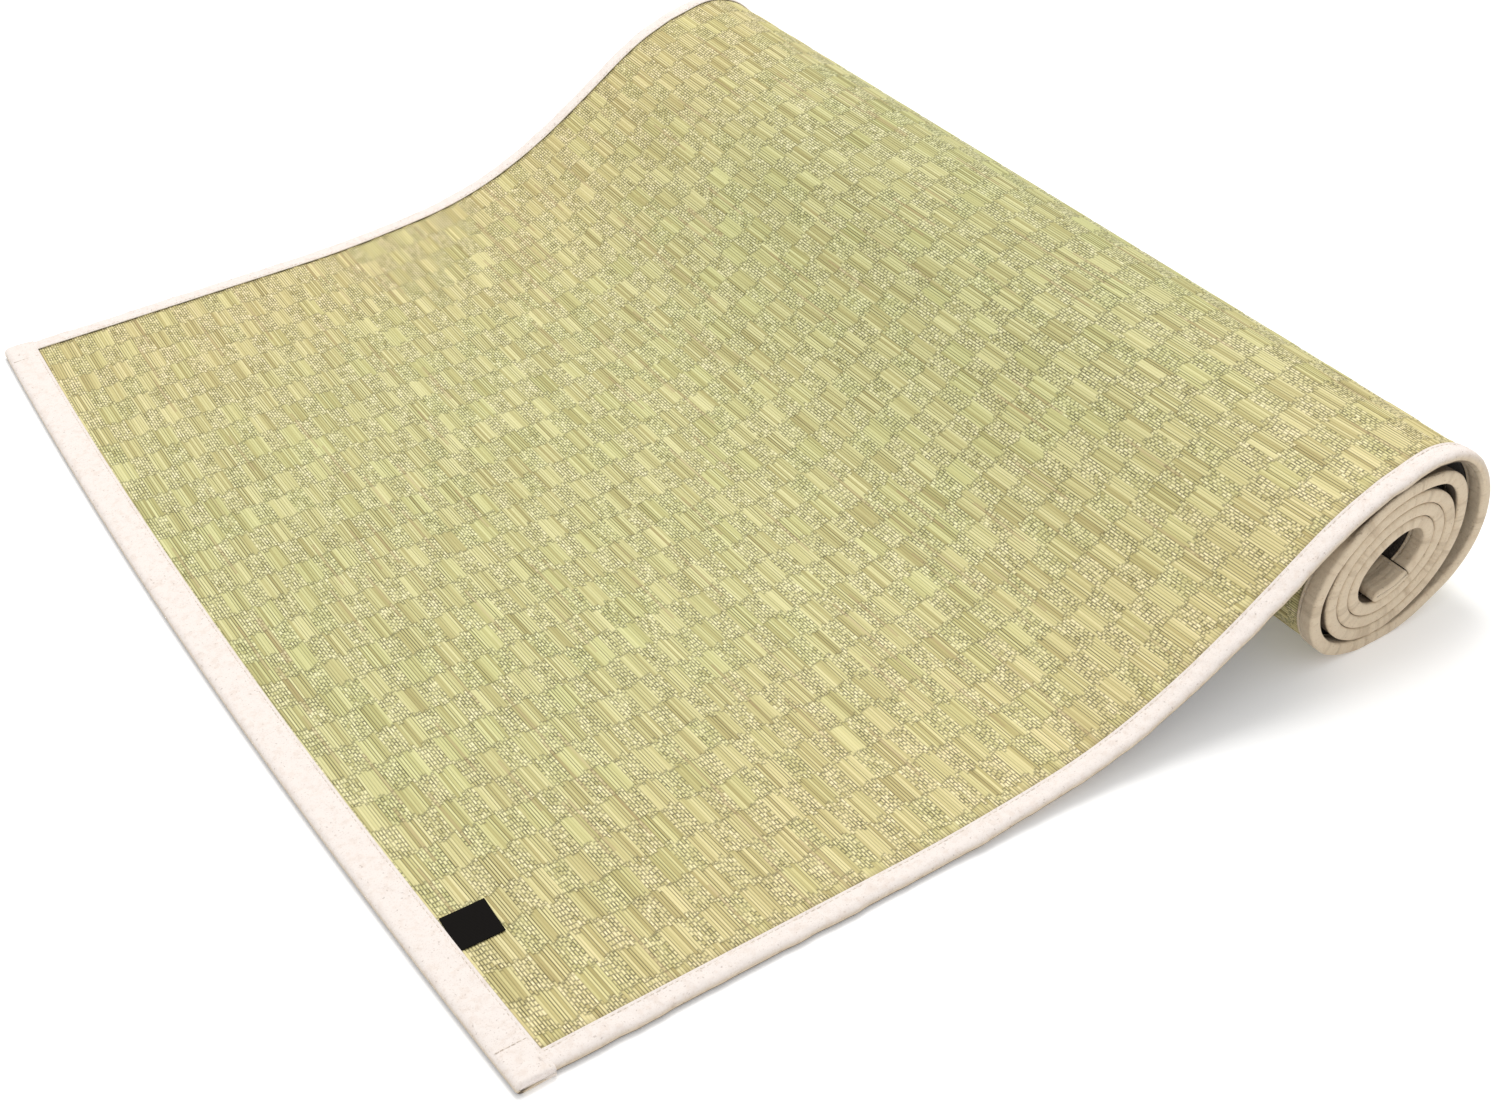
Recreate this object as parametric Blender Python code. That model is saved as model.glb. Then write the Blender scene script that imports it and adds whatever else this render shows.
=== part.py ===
"""Half-unrolled rush mat with bound edges: flat end, rise and wound roll.

The mat lies along X and is as wide as Y. One end lies flat, the mat then rises
over its own roll, and the rest is wound inside that with the rush face outward.
Metres, +Z up, origin on the floor under the middle of the whole mat.
"""

import math

import bmesh
import bpy
import numpy as np

# Cloth and layers
WIDTH = 0.610
EDGE_THICKNESS = 0.0062
BINDING_CLOTH = 0.0008
CLEARANCE = 0.0003
RUSH_THICKNESS = 0.0016
SIDE_LAP = 0.0095
END_LAP = 0.017
CORE_LAP = 0.021
EDGE_CHAMFER = 0.0008

# The flat end, whose edge bows out between its corners
END_X = -0.002
END_BOW = 0.0086
BOW_STEPS = 12
END_CORNER_RADIUS = 0.0015

# Where the rise starts and hands over to the roll
FLAT_RUN = 0.190
RISE_STEPS = 15
RISE = (
    # arc length from the flat end (m), slope (degrees)
    (0.190, 0.0),
    (0.228, 4.1),
    (0.266, 6.4),
    (0.303, 16.0),
    (0.341, 24.9),
    (0.369, 30.1),
    (0.398, 32.6),
    (0.426, 31.8),
    (0.454, 21.3),
    (0.482, 10.1),
)
RISE_END = 0.450

# The outer loop stands off the core of the roll
ROLL_X = 0.458
ROLL_Z = 0.0451
OUTER_LOOP = (
    # angle from the top, clockwise (degrees), radius to mid-thickness (m)
    (-18.0, 0.0443),
    (0.0, 0.0456),
    (26.0, 0.0533),
    (45.0, 0.0572),
    (65.0, 0.0580),
    (82.0, 0.0573),
    (104.0, 0.0548),
    (121.0, 0.0503),
    (135.0, 0.0460),
    (151.0, 0.0436),
    (180.0, 0.0424),
    (205.0, 0.0448),
    (225.0, 0.0480),
    (245.0, 0.0486),
    (264.0, 0.0466),
    (285.0, 0.0425),
    (305.0, 0.0386),
    (325.0, 0.0367),
    (345.0, 0.0370),
)

# The core: every turn lies one pitch inside the turn before it
CORE_RADIUS = 0.0399
CORE_OVAL = 0.0036
CORE_LEAN = 58.0
TURN_PITCH = 0.0066
CORE_START = 345.0
CORE_END = 1640.0
STEPS_PER_TURN = 24
BULGE_ANGLE = 405.0
BULGE_HEIGHT = 0.0036
BULGE_SPREAD = 22.0

# The bare tab tucked under the lip of the flat end's binding
TAB_WIDTH = 0.020
TAB_LENGTH = 0.019
TAB_THICKNESS = 0.0005
TAB_Y = -0.2255
TAB_TURN = -2.0

HALF = WIDTH / 2
HALF_EDGE = EDGE_THICKNESS / 2
BODY_TOP = HALF_EDGE - BINDING_CLOTH - CLEARANCE
BODY_HALF = HALF - BINDING_CLOTH - CLEARANCE
RUSH_BOTTOM = BODY_TOP - RUSH_THICKNESS
BACKING_TOP = RUSH_BOTTOM - CLEARANCE

MATERIALS = {
    # colour, roughness
    "rush": ((0.58, 0.57, 0.33), 0.62),
    "underlay": ((0.06, 0.05, 0.04), 0.9),
    "binding": ((0.86, 0.80, 0.72), 0.85),
    "tab": ((0.02, 0.02, 0.022), 0.6),
}


def smooth(table, x):
    """Value at x of a smooth curve through a table's rows."""
    xs, ys = np.array(table).T
    steps = np.diff(ys) / np.diff(xs)
    slopes = np.concatenate([steps[:1], (steps[1:] + steps[:-1]) / 2, steps[-1:]])
    i = int(np.clip(np.searchsorted(xs, x) - 1, 0, len(xs) - 2))
    run = xs[i + 1] - xs[i]
    t = (x - xs[i]) / run
    return (
        (1 + 2 * t) * (1 - t) ** 2 * ys[i]
        + t * (1 - t) ** 2 * run * slopes[i]
        + t * t * (3 - 2 * t) * ys[i + 1]
        + t * t * (t - 1) * run * slopes[i + 1]
    )


def slope_at(length):
    """Slope of the mat, in radians, at an arc length from the flat end."""
    return math.radians(smooth(RISE, length)) if length > FLAT_RUN else 0.0


def rise_points():
    """Mid-thickness points from the flat end to where the roll takes over."""
    fine = 0.0005
    points = [(END_X - END_BOW, HALF_EDGE), (FLAT_RUN / 2, HALF_EDGE)]
    stations = np.linspace(FLAT_RUN, RISE_END, RISE_STEPS)
    x, z, length = FLAT_RUN, HALF_EDGE, FLAT_RUN
    for station in stations:
        while length < station - fine / 2:
            slope = slope_at(length + fine / 2)
            x += math.cos(slope) * fine
            z += math.sin(slope) * fine
            length += fine
        points.append((x, z))
    return points


def on_roll(angle, radius):
    """Point at an angle from the top of the roll, clockwise, and a radius."""
    turn = math.radians(angle)
    return (ROLL_X + radius * math.sin(turn), ROLL_Z + radius * math.cos(turn))


def core_point(angle):
    """Point of the wound core: an oval moved in along its own normals."""
    turn = math.radians(angle)
    lean = 2 * (turn - math.radians(CORE_LEAN))
    radius = CORE_RADIUS + CORE_OVAL * math.cos(lean)
    growth = -2 * CORE_OVAL * math.sin(lean)
    x, z = on_roll(angle, radius)
    along = (
        growth * math.sin(turn) + radius * math.cos(turn),
        growth * math.cos(turn) - radius * math.sin(turn),
    )
    size = math.hypot(*along)
    inward = TURN_PITCH * (angle - 360.0) / 360.0
    inward -= BULGE_HEIGHT * math.exp(-(((angle - BULGE_ANGLE) / BULGE_SPREAD) ** 2))
    return (x + along[1] / size * inward, z - along[0] / size * inward)


def loop_point(angle):
    """Point of the outer loop, flat where it meets the floor."""
    x, z = on_roll(angle, smooth(OUTER_LOOP, angle))
    return (x, max(z, HALF_EDGE))


def roll_points():
    """Mid-thickness points of the outer loop and the core, outside first."""
    step = 360.0 / STEPS_PER_TURN
    first = OUTER_LOOP[0][0]
    angles = np.arange(first, CORE_END - step / 3, step)
    points = [loop_point(a) if a < CORE_START else core_point(a) for a in angles]
    points.append(core_point(CORE_END))
    return points


def centreline():
    """The whole mat's mid-thickness line in the X-Z plane."""
    return np.array(rise_points() + roll_points())


def arc_lengths(line):
    """Arc length at each point of a line."""
    return np.concatenate([[0.0], np.cumsum(np.linalg.norm(np.diff(line, axis=0), axis=1))])


def cut_line(line, start, end):
    """The stretch of a line between two arc lengths, ends included."""
    lengths = arc_lengths(line)
    inside = line[(lengths > start + CLEARANCE) & (lengths < end - CLEARANCE)]
    ends = [[np.interp(s, lengths, line[:, k]) for k in (0, 1)] for s in (start, end)]
    return np.vstack([ends[0], inside, ends[1]])


def material(name):
    """A plain material from the table of colours."""
    colour, roughness = MATERIALS[name]
    made = bpy.data.materials.new(name)
    made.use_nodes = True
    shader = made.node_tree.nodes["Principled BSDF"]
    shader.inputs["Base Color"].default_value = (*colour, 1.0)
    shader.inputs["Roughness"].default_value = roughness
    shader.inputs["Metallic"].default_value = 0.0
    return made


def flat_curve(name, outline, cyclic=True):
    """A straight-edged 2D curve through an outline's points."""
    curve = bpy.data.curves.new(name, "CURVE")
    curve.dimensions = "2D"
    spline = curve.splines.new("POLY")
    spline.points.add(len(outline) - 1)
    for point, (x, y) in zip(spline.points, outline):
        point.co = (x, y, 0.0, 1.0)
    spline.use_cyclic_u = cyclic
    return curve


def to_mesh(name, curve_object, collection):
    """The curve object as a closed mesh object in the world's frame."""
    bpy.context.view_layer.update()
    depsgraph = bpy.context.evaluated_depsgraph_get()
    mesh = bpy.data.meshes.new_from_object(curve_object.evaluated_get(depsgraph))
    mesh.transform(curve_object.matrix_world)
    shape = bmesh.new()
    shape.from_mesh(mesh)
    bmesh.ops.remove_doubles(shape, verts=shape.verts, dist=1e-6)
    bmesh.ops.recalc_face_normals(shape, faces=shape.faces)
    shape.to_mesh(mesh)
    shape.free()
    mesh.name = name
    made = bpy.data.objects.new(name, mesh)
    collection.objects.link(made)
    bpy.data.objects.remove(curve_object)
    return made


def sweep(name, section, line, collection):
    """Carry a section (above mid-thickness, across) along a line in X-Z."""
    turned = [(-above, -across) for above, across in section]
    profile = bpy.data.objects.new(name + "_section", flat_curve(name, turned))
    path = flat_curve(name, line, cyclic=False)
    path.bevel_mode = "OBJECT"
    path.bevel_object = profile
    path.use_fill_caps = True
    rail = bpy.data.objects.new(name + "_path", path)
    rail.rotation_euler = (math.radians(90.0), 0.0, 0.0)
    collection.objects.link(profile)
    collection.objects.link(rail)
    made = to_mesh(name, rail, collection)
    bpy.data.objects.remove(profile)
    return made


def slab(name, outline, low, high, collection):
    """A plan outline given a thickness between two heights."""
    curve = flat_curve(name, outline)
    curve.fill_mode = "BOTH"
    curve.extrude = (high - low) / 2
    board = bpy.data.objects.new(name + "_outline", curve)
    board.location.z = (high + low) / 2
    collection.objects.link(board)
    return to_mesh(name, board, collection)


def cut_away(target, cutter):
    """Take a cutter's shape out of a piece."""
    cutter.hide_render = True
    cutter.display_type = "WIRE"
    change = target.modifiers.new("cut_" + cutter.name, "BOOLEAN")
    change.operation = "DIFFERENCE"
    change.object = cutter
    change.solver = "EXACT"


def rectangle(half_width, low, high):
    """A section's outline, half_width each side of the middle."""
    return [(low, -half_width), (high, -half_width), (high, half_width), (low, half_width)]


def binding_section(side):
    """The folded strip round one long edge, on side -1 or 1."""
    lip = HALF - SIDE_LAP
    wall = HALF - BINDING_CLOTH
    inner = HALF_EDGE - BINDING_CLOTH
    shoulder = HALF - EDGE_CHAMFER
    cheek = HALF_EDGE - EDGE_CHAMFER
    half_outline = [(lip, HALF_EDGE), (shoulder, HALF_EDGE), (HALF, cheek)]
    outer = half_outline + [(a, -n) for a, n in reversed(half_outline)]
    hollow = [(lip, -inner), (wall, -inner), (wall, inner), (lip, inner)]
    return [(n, side * a) for a, n in outer + hollow]


def backing_section():
    """The underlay, thinner where the folded strips pass under it."""
    middle = HALF - SIDE_LAP - CLEARANCE
    right = [(BACKING_TOP, BODY_HALF), (-BODY_TOP, BODY_HALF)]
    right += [(-BODY_TOP, middle), (-HALF_EDGE, middle)]
    return [(n, a) for n, a in right] + [(n, -a) for n, a in reversed(right)]


def bow_at(across):
    """X of the flat end's edge at a place across the width."""
    return END_X + END_BOW * (across / HALF) ** 2


def bowed_band(start, end, half_width, radius=0.0):
    """Plan outline between two offsets from the bowed end edge."""
    reach = half_width - radius
    across = np.linspace(-reach, reach, BOW_STEPS + 1)
    back = [(bow_at(y) + end, y) for y in reversed(across)]
    front = [(bow_at(y) + start, y) for y in across]
    if not radius:
        return front + back
    side = radius * (1 - math.sqrt(0.5))
    corner = bow_at(half_width) + start
    low = [(corner + radius, -half_width), (corner + side, side - half_width)]
    high = [(corner + side, half_width - side), (corner + radius, half_width)]
    edge = bow_at(half_width) + end
    return low + front + high + [(edge, half_width)] + back + [(edge, -half_width)]


def end_binding_outer(parts, cutters):
    """Folded strip round the flat end, with its corners closed."""
    outline = bowed_band(0.0, END_LAP, HALF, END_CORNER_RADIUS)
    made = slab("end_binding_outer", outline, 0.0, EDGE_THICKNESS, parts)
    inner = HALF - BINDING_CLOTH
    hollow = bowed_band(BINDING_CLOTH, 2 * END_LAP, inner)
    low, high = BINDING_CLOTH, EDGE_THICKNESS - BINDING_CLOTH
    cut_away(made, slab("outer_hollow", hollow, low, high, cutters))
    return made


def end_binding_core(line, parts, cutters):
    """Folded strip round the end that is wound into the core."""
    total = arc_lengths(line)[-1]
    stretch = cut_line(line, total - CORE_LAP, total)
    section = rectangle(HALF, -HALF_EDGE, HALF_EDGE)
    made = sweep("end_binding_core", section, stretch, parts)
    inner = HALF_EDGE - BINDING_CLOTH
    pocket = cut_line(line, total - 2 * CORE_LAP, total - BINDING_CLOTH)
    section = rectangle(HALF - BINDING_CLOTH, -inner, inner)
    cut_away(made, sweep("core_hollow", section, pocket, cutters))
    return made


def mat_body(line, parts, cutters):
    """The woven rush face and the underlay beneath it."""
    total = arc_lengths(line)[-1]
    inset = BINDING_CLOTH + CLEARANCE
    stretch = cut_line(line, 0.0, total - inset)
    rush = sweep("rush_face", rectangle(BODY_HALF, RUSH_BOTTOM, BODY_TOP), stretch, parts)
    backing = sweep("backing", backing_section(), stretch, parts)
    trim = bowed_band(-4 * END_BOW, inset, WIDTH)
    end_cut = slab("end_trim", trim, -WIDTH, WIDTH, cutters)
    clear = bowed_band(-4 * END_BOW, END_LAP + CLEARANCE, WIDTH)
    lap_cut = slab("lap_trim", clear, -WIDTH, inset, cutters)
    core = cut_line(line, total - CORE_LAP - CLEARANCE, total)
    relief = [(-2 * HALF_EDGE, -HALF), (-BODY_TOP, -HALF), (-BODY_TOP, HALF), (-2 * HALF_EDGE, HALF)]
    core_cut = sweep("core_trim", relief, core, cutters)
    for piece, cuts in ((rush, (end_cut,)), (backing, (end_cut, lap_cut, core_cut))):
        for cutter in cuts:
            cut_away(piece, cutter)
    return rush, backing


def side_bindings(line, parts):
    """The folded strips along both long edges."""
    total = arc_lengths(line)[-1]
    start = bow_at(HALF) + END_LAP + CLEARANCE - line[0][0]
    stretch = cut_line(line, start, total - CORE_LAP - 2 * CLEARANCE)
    names = (("side_binding_near", -1), ("side_binding_far", 1))
    return [sweep(name, binding_section(side), stretch, parts) for name, side in names]


def label_tab(parts):
    """The small bare tab on the rush face, against the end binding's lip."""
    half_length, half_width = TAB_LENGTH / 2, TAB_WIDTH / 2
    turn = math.radians(TAB_TURN)
    middle = bow_at(TAB_Y) + END_LAP + 4 * CLEARANCE + half_length
    outline = []
    for a, b in ((-1, -1), (1, -1), (1, 1), (-1, 1)):
        x, y = a * half_length, b * half_width
        across = x * math.sin(turn) + y * math.cos(turn)
        outline.append((middle + x * math.cos(turn) - y * math.sin(turn), TAB_Y + across))
    low = HALF_EDGE + BODY_TOP + CLEARANCE
    return slab("label_tab", outline, low, low + TAB_THICKNESS, parts)


def overall_middle(line):
    """X of the middle of the whole mat, from the end edge to the roll."""
    tangent = np.gradient(line, axis=0)
    tangent /= np.linalg.norm(tangent, axis=1)[:, None]
    reach = (line[:, 0] - tangent[:, 1] * HALF_EDGE).max()
    return (END_X + reach) / 2


def main():
    """Build every piece of the mat and move its origin under its middle."""
    for old in list(bpy.data.objects):
        bpy.data.objects.remove(old)
    parts = bpy.data.collections.new("tatami_mat")
    cutters = bpy.data.collections.new("cutters")
    for group in (parts, cutters):
        bpy.context.scene.collection.children.link(group)

    line = centreline()
    rush, backing = mat_body(line, parts, cutters)
    bindings = side_bindings(line, parts)
    bindings += [end_binding_outer(parts, cutters), end_binding_core(line, parts, cutters)]
    tab = label_tab(parts)

    for piece, name in ((rush, "rush"), (backing, "underlay"), (tab, "tab")):
        piece.data.materials.append(material(name))
    for piece in bindings:
        piece.data.materials.append(material("binding"))

    shift = overall_middle(line)
    for piece in list(parts.objects) + list(cutters.objects):
        piece.location.x -= shift


main()
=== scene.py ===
"""The looks of a half-unrolled rush mat: its weave, bound edges, stitching and light.

Every piece is laid along one line in the X-Z plane, the mat's mid-thickness, and is
described by three numbers: the length along the mat from its flat end, the place across
its width, and the height above mid-thickness on the rush side. Metres throughout.
"""

import logging
import math
from dataclasses import dataclass, field
from enum import Enum
from functools import partial, reduce
from typing import Iterable, Sequence

import bmesh
import bpy
import numpy as np
from mathutils import Matrix, Vector


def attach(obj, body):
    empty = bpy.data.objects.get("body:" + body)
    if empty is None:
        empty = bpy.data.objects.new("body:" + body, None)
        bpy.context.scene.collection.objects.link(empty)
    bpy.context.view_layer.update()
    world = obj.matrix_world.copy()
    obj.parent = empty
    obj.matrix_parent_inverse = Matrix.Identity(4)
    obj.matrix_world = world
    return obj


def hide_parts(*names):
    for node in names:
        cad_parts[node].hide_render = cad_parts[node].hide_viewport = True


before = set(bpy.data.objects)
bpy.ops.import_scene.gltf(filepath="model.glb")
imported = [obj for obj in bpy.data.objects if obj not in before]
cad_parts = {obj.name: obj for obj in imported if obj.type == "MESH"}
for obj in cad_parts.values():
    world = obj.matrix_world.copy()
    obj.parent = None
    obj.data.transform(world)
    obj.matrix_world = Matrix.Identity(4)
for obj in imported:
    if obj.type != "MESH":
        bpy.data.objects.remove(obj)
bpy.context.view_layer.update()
LOG = logging.getLogger("rush_mat")

Array = np.ndarray
Triple = tuple[float, float, float]
Colour = Triple
Pair = tuple[float, float]
Table = tuple[Pair, ...]
Socket = bpy.types.NodeSocket
Material = bpy.types.Material
Piece = bpy.types.Object
MM = 0.001
TINY = 1e-6
UV_MAP = "cloth"


class Side(Enum):
    """The mat's two long edges, as the sign of Y."""

    NEAR = -1
    FAR = 1


class End(Enum):
    """The mat's two short ends."""

    FLAT = "flat"
    CORE = "core"


class Face(Enum):
    """The rush side and the underside, as the sign of the height."""

    RUSH = 1
    UNDER = -1


class Draw(Enum):
    """Keys that keep the weave's random draws apart."""

    TONE = 1.0
    JAG = 3.0
    TORN = 4.0
    DEPTH = 5.0
    PHASE = 7.0
    DASH = 11.0
    BESIDE = 13.0
    BETWEEN = 17.0
    TAN = 23.0
    GREEN = 31.0


class Graph:
    """A material's node tree, built with short calls."""

    def __init__(self, name: str) -> None:
        """Start a material.

        Args:
            name: the material's name.
        """
        self.material = bpy.data.materials.new(name)
        self.material.use_nodes = True
        self.tree = self.material.node_tree
        self.shader = self.tree.nodes["Principled BSDF"]

    def feed(self, socket: Socket, value: object) -> None:
        """Link a socket to another, or set its value.

        Args:
            socket: the input.
            value: an output socket, a number, a tuple or a draw's key.
        """
        if isinstance(value, Socket):
            self.tree.links.new(value, socket)
        else:
            socket.default_value = value.value if isinstance(value, Enum) else value

    def node(self, kind: str, inputs: dict[str | int, object], **settings: object) -> bpy.types.Node:
        """Add a node.

        Args:
            kind: Blender's name of the node type, without its first words.
            inputs: what feeds its inputs, by their name or place.
            settings: properties to set on it.

        Returns:
            The new node.
        """
        made = self.tree.nodes.new("ShaderNode" + kind)
        for key, value in settings.items():
            setattr(made, key, value)
        for key, value in inputs.items():
            self.feed(made.inputs[key], value)
        return made

    def math(self, operation: str, *values: object, clamp: bool = False) -> Socket:
        """Add a math node on values in order, kept between 0 and 1 if clamped."""
        inputs = dict(enumerate(values))
        return self.node("Math", inputs, operation=operation, use_clamp=clamp).outputs[0]

    def times(self, *values: object) -> Socket:
        """Multiply values together."""
        return reduce(partial(self.math, "MULTIPLY"), values)

    def plus(self, *values: object) -> Socket:
        """Add values up."""
        return reduce(partial(self.math, "ADD"), values)

    def less(self, first: object, second: object) -> Socket:
        """Take the second value from the first."""
        return self.math("SUBTRACT", first, second)

    def floor(self, value: object) -> Socket:
        """Round a value down."""
        return self.math("FLOOR", value)

    def spread(self, value: object, share: Pair) -> Socket:
        """Multiply a value by the first of two numbers and add the second."""
        return self.plus(self.times(value, share[0]), share[1])

    def off_middle(self, place: object) -> Socket:
        """How far a place is from the middle of its cell: 0 there, 1 at both ends."""
        share = self.math("FRACT", place)
        return self.math("ABSOLUTE", self.less(self.times(share, 2.0), 1.0))

    def ease(self, value: object, low: float, high: float) -> Socket:
        """Rise softly from 0 to 1 between two values."""
        inputs = {"Value": value, "From Min": low, "From Max": high}
        return self.node("MapRange", inputs, interpolation_type="SMOOTHSTEP").outputs["Result"]

    def mix(self, amount: object, first: object, second: object, blend: str = "MIX") -> Socket:
        """Mix two colours.

        Args:
            amount: from 0, the first, to 1, the second.
            first: a colour or a socket.
            second: a colour or a socket.
            blend: Blender's name of the blend type.

        Returns:
            The mixed colour.
        """
        pair = [(*c, 1.0) if isinstance(c, tuple) else c for c in (first, second)]
        inputs = {0: amount, 6: pair[0], 7: pair[1]}
        return self.node("Mix", inputs, data_type="RGBA", blend_type=blend).outputs[2]

    def dyed(self, colour: object, dye: Colour) -> Socket:
        """A colour multiplied by another."""
        return self.mix(1.0, colour, dye, "MULTIPLY")

    def tint(self, amount: object, colour: object, dye: Colour) -> Socket:
        """A colour multiplied by another, by an amount from 0 to 1."""
        return self.mix(amount, colour, self.dyed(colour, dye))

    def join(self, x: object, y: object, z: object = 0.0) -> Socket:
        """Make a vector of three values."""
        return self.node("CombineXYZ", {0: x, 1: y, 2: z}).outputs[0]

    def at_scale(self, values: Sequence[object], runs: Pair) -> Socket:
        """Make a vector of two values, each multiplied by its own number."""
        return self.join(*(self.times(value, run) for value, run in zip(values, runs)))

    def split(self, vector: object) -> tuple[Socket, Socket]:
        """Take the first two values of a vector."""
        made = self.node("SeparateXYZ", {0: vector})
        return made.outputs[0], made.outputs[1]

    def object_place(self) -> Socket:
        """Place in the piece's own coordinates."""
        return self.node("TexCoord", {}).outputs["Object"]

    def own_map(self) -> tuple[Socket, Socket]:
        """U and V of the piece's own map."""
        return self.split(self.node("UVMap", {}, uv_map=UV_MAP).outputs[0])

    def noise(self, vector: object, scale: float, detail: float = 2.0, rough: float = 0.5) -> Socket:
        """Sample soft noise round 0.5.

        Args:
            vector: where to sample it.
            scale: how fine it is.
            detail: how many octaves it has.
            rough: how strong the fine octaves are.

        Returns:
            The noise.
        """
        inputs = {"Vector": vector, "Scale": scale, "Detail": detail, "Roughness": rough}
        return self.node("TexNoise", inputs).outputs["Fac"]

    def dice(self, x: object, y: object = 0.0, z: object = 0.0) -> Socket:
        """Draw one steady random value from 0 to 1 for each set of three numbers."""
        inputs = {"Vector": self.join(x, y, z)}
        return self.node("TexWhiteNoise", inputs, noise_dimensions="3D").outputs["Value"]

    def ramp(self, value: object, stops: Sequence[tuple[float, Colour]]) -> Socket:
        """Turn a value into a colour.

        Args:
            value: the input, from 0 to 1.
            stops: places and their colours, in order.

        Returns:
            The colour.
        """
        made = self.node("ValToRGB", {0: value})
        elements = made.color_ramp.elements
        while len(elements) < len(stops):
            elements.new(0.5)
        for element, (place, colour) in zip(elements, stops):
            element.position = place
            element.color = (*colour, 1.0)
        return made.outputs[0]

    def bump(self, height: object, distance: float, strength: float = 1.0) -> None:
        """Raise the shader's surface.

        Args:
            height: the height, from 0 to 1.
            distance: how far 1 stands out.
            strength: how much of it shows.
        """
        inputs = {"Height": height, "Distance": distance, "Strength": strength}
        self.feed(self.shader.inputs["Normal"], self.node("Bump", inputs).outputs[0])

    def surface(self, colour: Socket, **values: object) -> Material:
        """Set the shader's sockets.

        Args:
            colour: the base colour.
            values: other sockets, their names with _ for each space.

        Returns:
            The finished material.
        """
        self.feed(self.shader.inputs["Base Color"], colour)
        for key, value in values.items():
            self.feed(self.shader.inputs[key.replace("_", " ")], value)
        return self.material


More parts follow.
